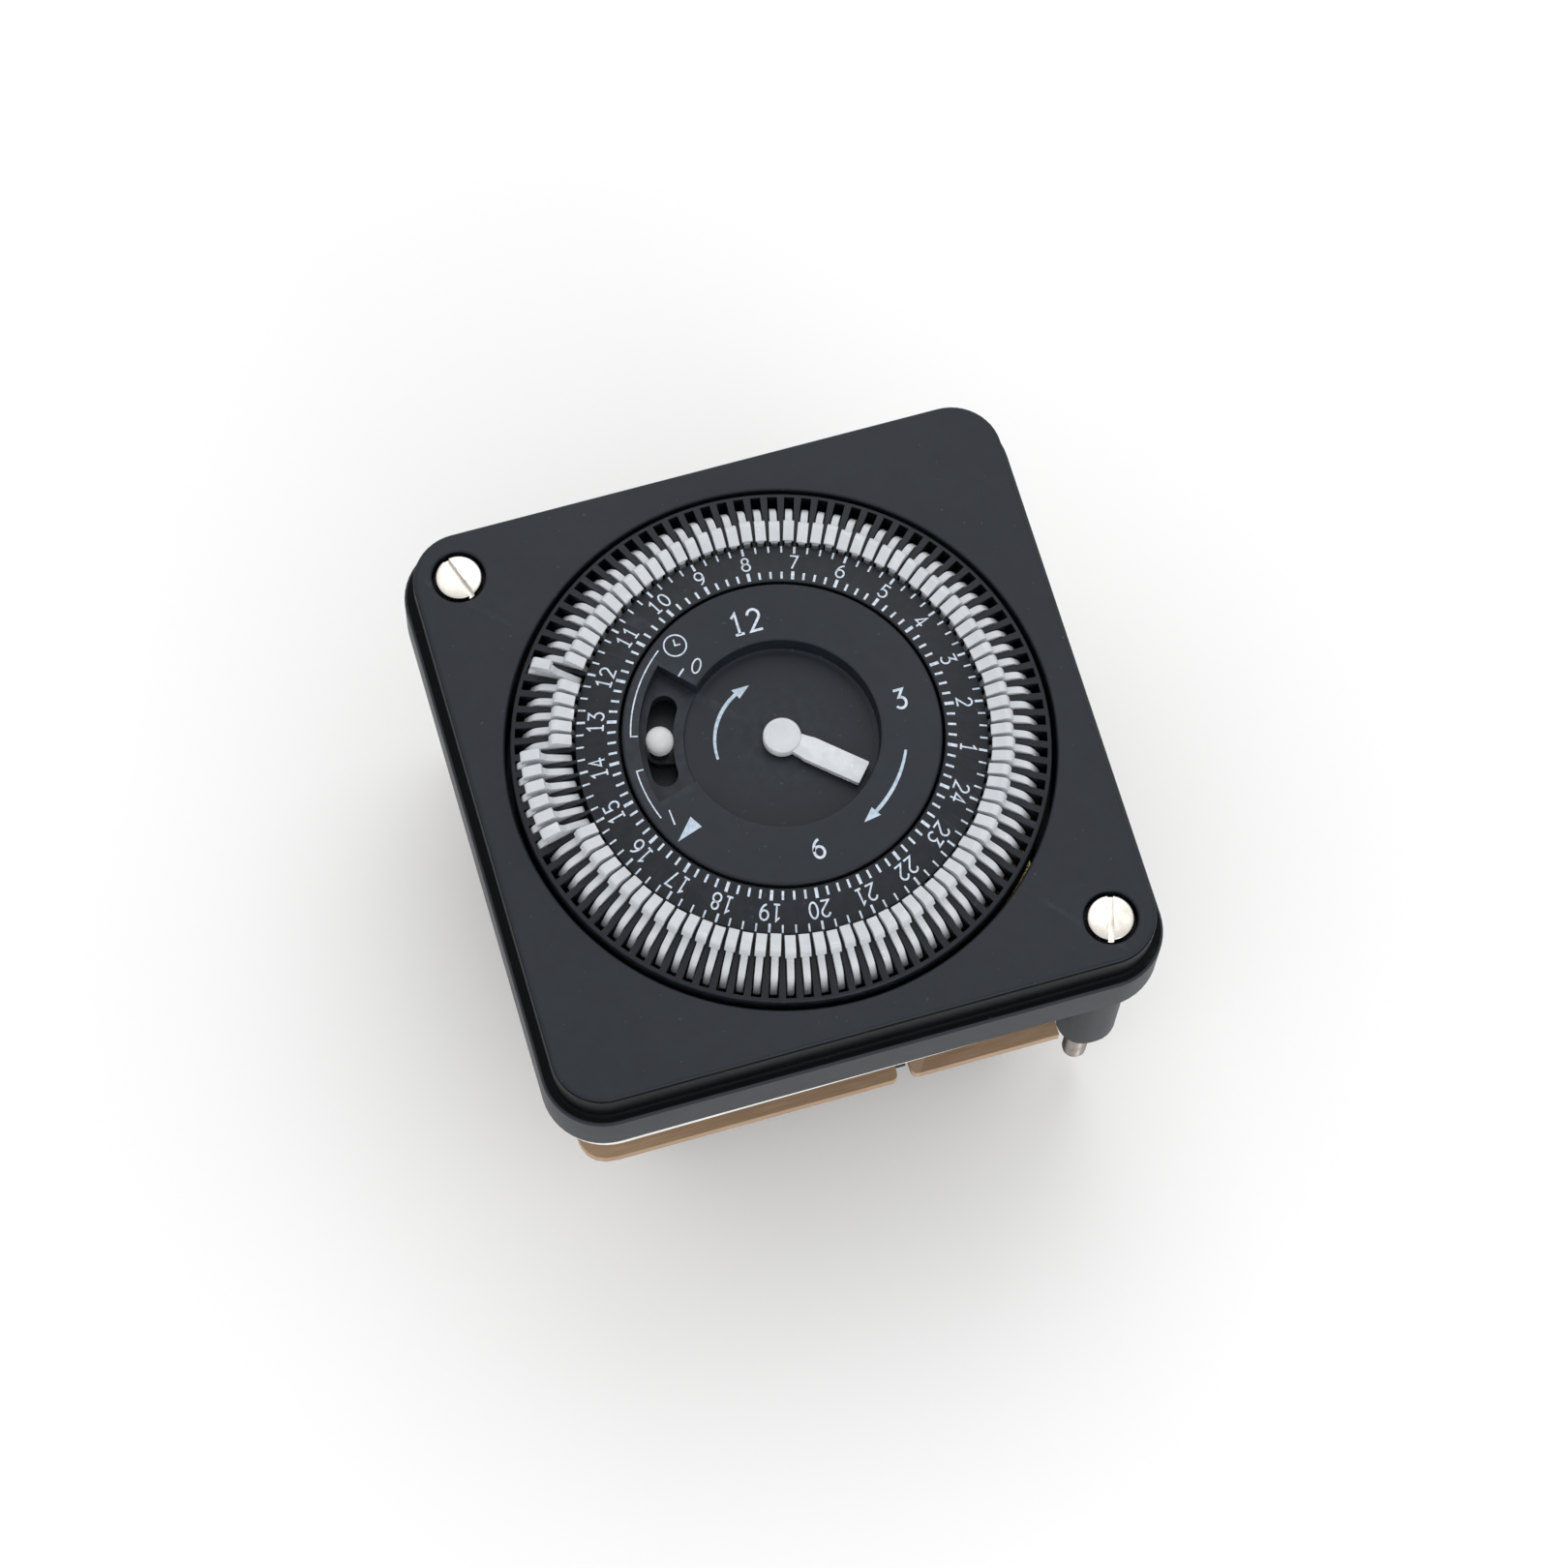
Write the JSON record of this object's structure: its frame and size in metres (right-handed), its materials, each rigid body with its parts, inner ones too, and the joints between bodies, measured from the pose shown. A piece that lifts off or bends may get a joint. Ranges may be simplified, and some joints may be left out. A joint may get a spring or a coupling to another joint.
{
  "type": "programmable timer",
  "caption": "Square flush-mounted mechanical day timer: black bezel, turning dial ringed with white setting levers, central minute hand, selector slot and two captive corner screws.",
  "frame": {"origin": "bottom centre of the bounding box, on the dial axis in the plane of the back cover", "axes": "+Z out of the dial towards the user, +Y towards the 12 of the centre plate, +X towards its 3"},
  "size_m": [0.0722, 0.0722, 0.0593],
  "materials": {
    "black_plastic": "fine satin texture",
    "dark_plastic": "satin",
    "white_plastic": "satin",
    "natural_plastic": "satin",
    "foam": "soft matte",
    "board": "resin-bonded paper laminate",
    "nickel": "nickel plate",
    "steel": "plain",
    "dark_steel": "plain",
    "brass": "plain",
    "copper": "enamelled winding wire",
    "ceramic": "unglazed",
    "yellow_plastic": "smooth"
  },
  "bodies": {
    "chassis": {"bezel": "black_plastic", "centre_plate": "black_plastic", "gasket": "foam", "movement_case": "dark_plastic", "rear_cover": "dark_plastic", "switch_body": "dark_plastic", "circuit_board": "board", "connector_shroud": "natural_plastic", "connector_pin_1": "brass", "connector_pin_2": "brass", "connector_pin_3": "brass", "connector_pin_4": "brass", "connector_pin_5": "brass", "front_plate": "brass", "rear_plate": "brass", "capacitor": "yellow_plastic", "resistor": "ceramic", "pillar_1": "steel", "pillar_2": "steel", "pillar_3": "steel", "pillar_4": "steel", "motor_can": "steel", "sensing_post": "steel", "case_screw_1": "steel", "case_screw_2": "steel", "cover_screw_1": "steel", "cover_screw_2": "steel", "motor_coil": "copper", "switch_terminal_1": "nickel", "switch_terminal_2": "nickel", "switch_terminal_3": "nickel"},
    "dial": {"program_dial": "dark_plastic", "tripper_ring": "white_plastic", "dial_gear": "natural_plastic"},
    "minute": {"minute_arbor": "steel", "minute_hand": "white_plastic"},
    "transfer": {"transfer_wheel": "natural_plastic"},
    "minute_drive": {"minute_wheel": "natural_plastic"},
    "second": {"second_wheel": "natural_plastic"},
    "first": {"first_wheel": "natural_plastic"},
    "rotor": {"motor_rotor": "dark_steel"},
    "selector": {"selector_lever": "dark_plastic", "selector_knob": "white_plastic"},
    "sensor": {"sensing_lever": "natural_plastic"},
    "plunger": {"switch_plunger": "natural_plastic"},
    "clip_1": {"screw_clip_1": "steel"},
    "screw_1": {"panel_screw_1": "nickel"},
    "clip_2": {"screw_clip_2": "steel"},
    "screw_2": {"panel_screw_2": "nickel"},
    "tripper_48": {"tripper_48": "white_plastic"},
    "tripper_54": {"tripper_54": "white_plastic"},
    "tripper_55": {"tripper_55": "white_plastic"},
    "tripper_56": {"tripper_56": "white_plastic"},
    "tripper_57": {"tripper_57": "white_plastic"},
    "tripper_58": {"tripper_58": "white_plastic"},
    "tripper_59": {"tripper_59": "white_plastic"}
  },
  "joints": [
    {"name": "dial_turn", "type": "hinge", "parent": "chassis", "child": "dial", "pos_m": [0, 0, 0.054], "axis": [0, 0, -1], "continuous": true},
    {"name": "minute_turn", "type": "hinge", "parent": "chassis", "child": "minute", "pos_m": [0, 0, 0.054], "axis": [0, 0, -1], "continuous": true},
    {"name": "transfer_turn", "type": "hinge", "parent": "chassis", "child": "transfer", "pos_m": [0.01316, 0.00479, 0.044], "axis": [0, 0, -1], "continuous": true},
    {"name": "rotor_turn", "type": "hinge", "parent": "chassis", "child": "rotor", "pos_m": [0.00896, -0.00865, 0.027], "axis": [0, 0, -1], "continuous": true},
    {"name": "first_turn", "type": "hinge", "parent": "chassis", "child": "first", "pos_m": [0.00456, -0.01628, 0.034], "axis": [0, 0, -1], "continuous": true},
    {"name": "second_turn", "type": "hinge", "parent": "chassis", "child": "second", "pos_m": [-0.0041, -0.01128, 0.035], "axis": [0, 0, -1], "continuous": true},
    {"name": "minute_drive_turn", "type": "hinge", "parent": "chassis", "child": "minute_drive", "pos_m": [0, 0, 0.037], "axis": [0, 0, -1], "continuous": true},
    {"name": "selector_swing", "type": "hinge", "parent": "chassis", "child": "selector", "pos_m": [0, 0, 0.054], "axis": [0, 0, 1], "range_deg": [-17, 12.6]},
    {"name": "sensor_swing", "type": "hinge", "parent": "chassis", "child": "sensor", "pos_m": [-0.0215, 0.003, 0.0458], "axis": [0, 0, 1], "range_deg": [0, 5], "stiffness_Nm_per_rad": 0.002, "springref_deg": -5.73},
    {"name": "plunger_travel", "type": "slide", "parent": "chassis", "child": "plunger", "axis": [1, 0, 0], "range_m": [0, 0.00097]},
    {"name": "tripper_48_rock", "type": "hinge", "parent": "dial", "child": "tripper_48", "pos_m": [-0.0223, 0.0145, 0.0512], "axis": [-0.545, -0.8384, 0], "range_deg": [-32, 0]},
    {"name": "tripper_54_rock", "type": "hinge", "parent": "dial", "child": "tripper_54", "pos_m": [-0.02615, 0.00486, 0.0512], "axis": [-0.1827, -0.9832, 0], "range_deg": [-32, 0]},
    {"name": "tripper_55_rock", "type": "hinge", "parent": "dial", "child": "tripper_55", "pos_m": [-0.02641, 0.00314, 0.0512], "axis": [-0.118, -0.993, 0], "range_deg": [-32, 0]},
    {"name": "tripper_56_rock", "type": "hinge", "parent": "dial", "child": "tripper_56", "pos_m": [-0.02656, 0.0014, 0.0512], "axis": [-0.0528, -0.9986, 0], "range_deg": [-32, 0]},
    {"name": "tripper_57_rock", "type": "hinge", "parent": "dial", "child": "tripper_57", "pos_m": [-0.0266, -0.00034, 0.0512], "axis": [0.0127, -0.9999, 0], "range_deg": [-32, 0]},
    {"name": "tripper_58_rock", "type": "hinge", "parent": "dial", "child": "tripper_58", "pos_m": [-0.02652, -0.00208, 0.0512], "axis": [0.078, -0.997, 0], "range_deg": [-32, 0]},
    {"name": "tripper_59_rock", "type": "hinge", "parent": "dial", "child": "tripper_59", "pos_m": [-0.02633, -0.0038, 0.0512], "axis": [0.1431, -0.9897, 0], "range_deg": [-32, 0]},
    {"name": "screw_1_travel", "type": "slide", "parent": "chassis", "child": "clip_1", "axis": [0, 0, 1], "range_m": [0, 0.0052]},
    {"name": "screw_1_turn", "type": "hinge", "parent": "clip_1", "child": "screw_1", "pos_m": [-0.0295, 0.0295, 0.054], "axis": [0, 0, -1], "continuous": true},
    {"name": "screw_2_travel", "type": "slide", "parent": "chassis", "child": "clip_2", "axis": [0, 0, 1], "range_m": [0, 0.0052]},
    {"name": "screw_2_turn", "type": "hinge", "parent": "clip_2", "child": "screw_2", "pos_m": [0.0295, -0.0295, 0.054], "axis": [0, 0, -1], "continuous": true}
  ],
  "couplings": [
    {"joint": "minute_turn", "follows": "dial_turn", "ratio": 24},
    {"joint": "transfer_turn", "follows": "dial_turn", "ratio": -6},
    {"joint": "first_turn", "follows": "rotor_turn", "ratio": -0.25},
    {"joint": "second_turn", "follows": "rotor_turn", "ratio": 0.0625},
    {"joint": "minute_drive_turn", "follows": "rotor_turn", "ratio": -0.015625},
    {"joint": "plunger_travel", "follows": "sensor_swing", "m_per_rad": 0.011}
  ]
}
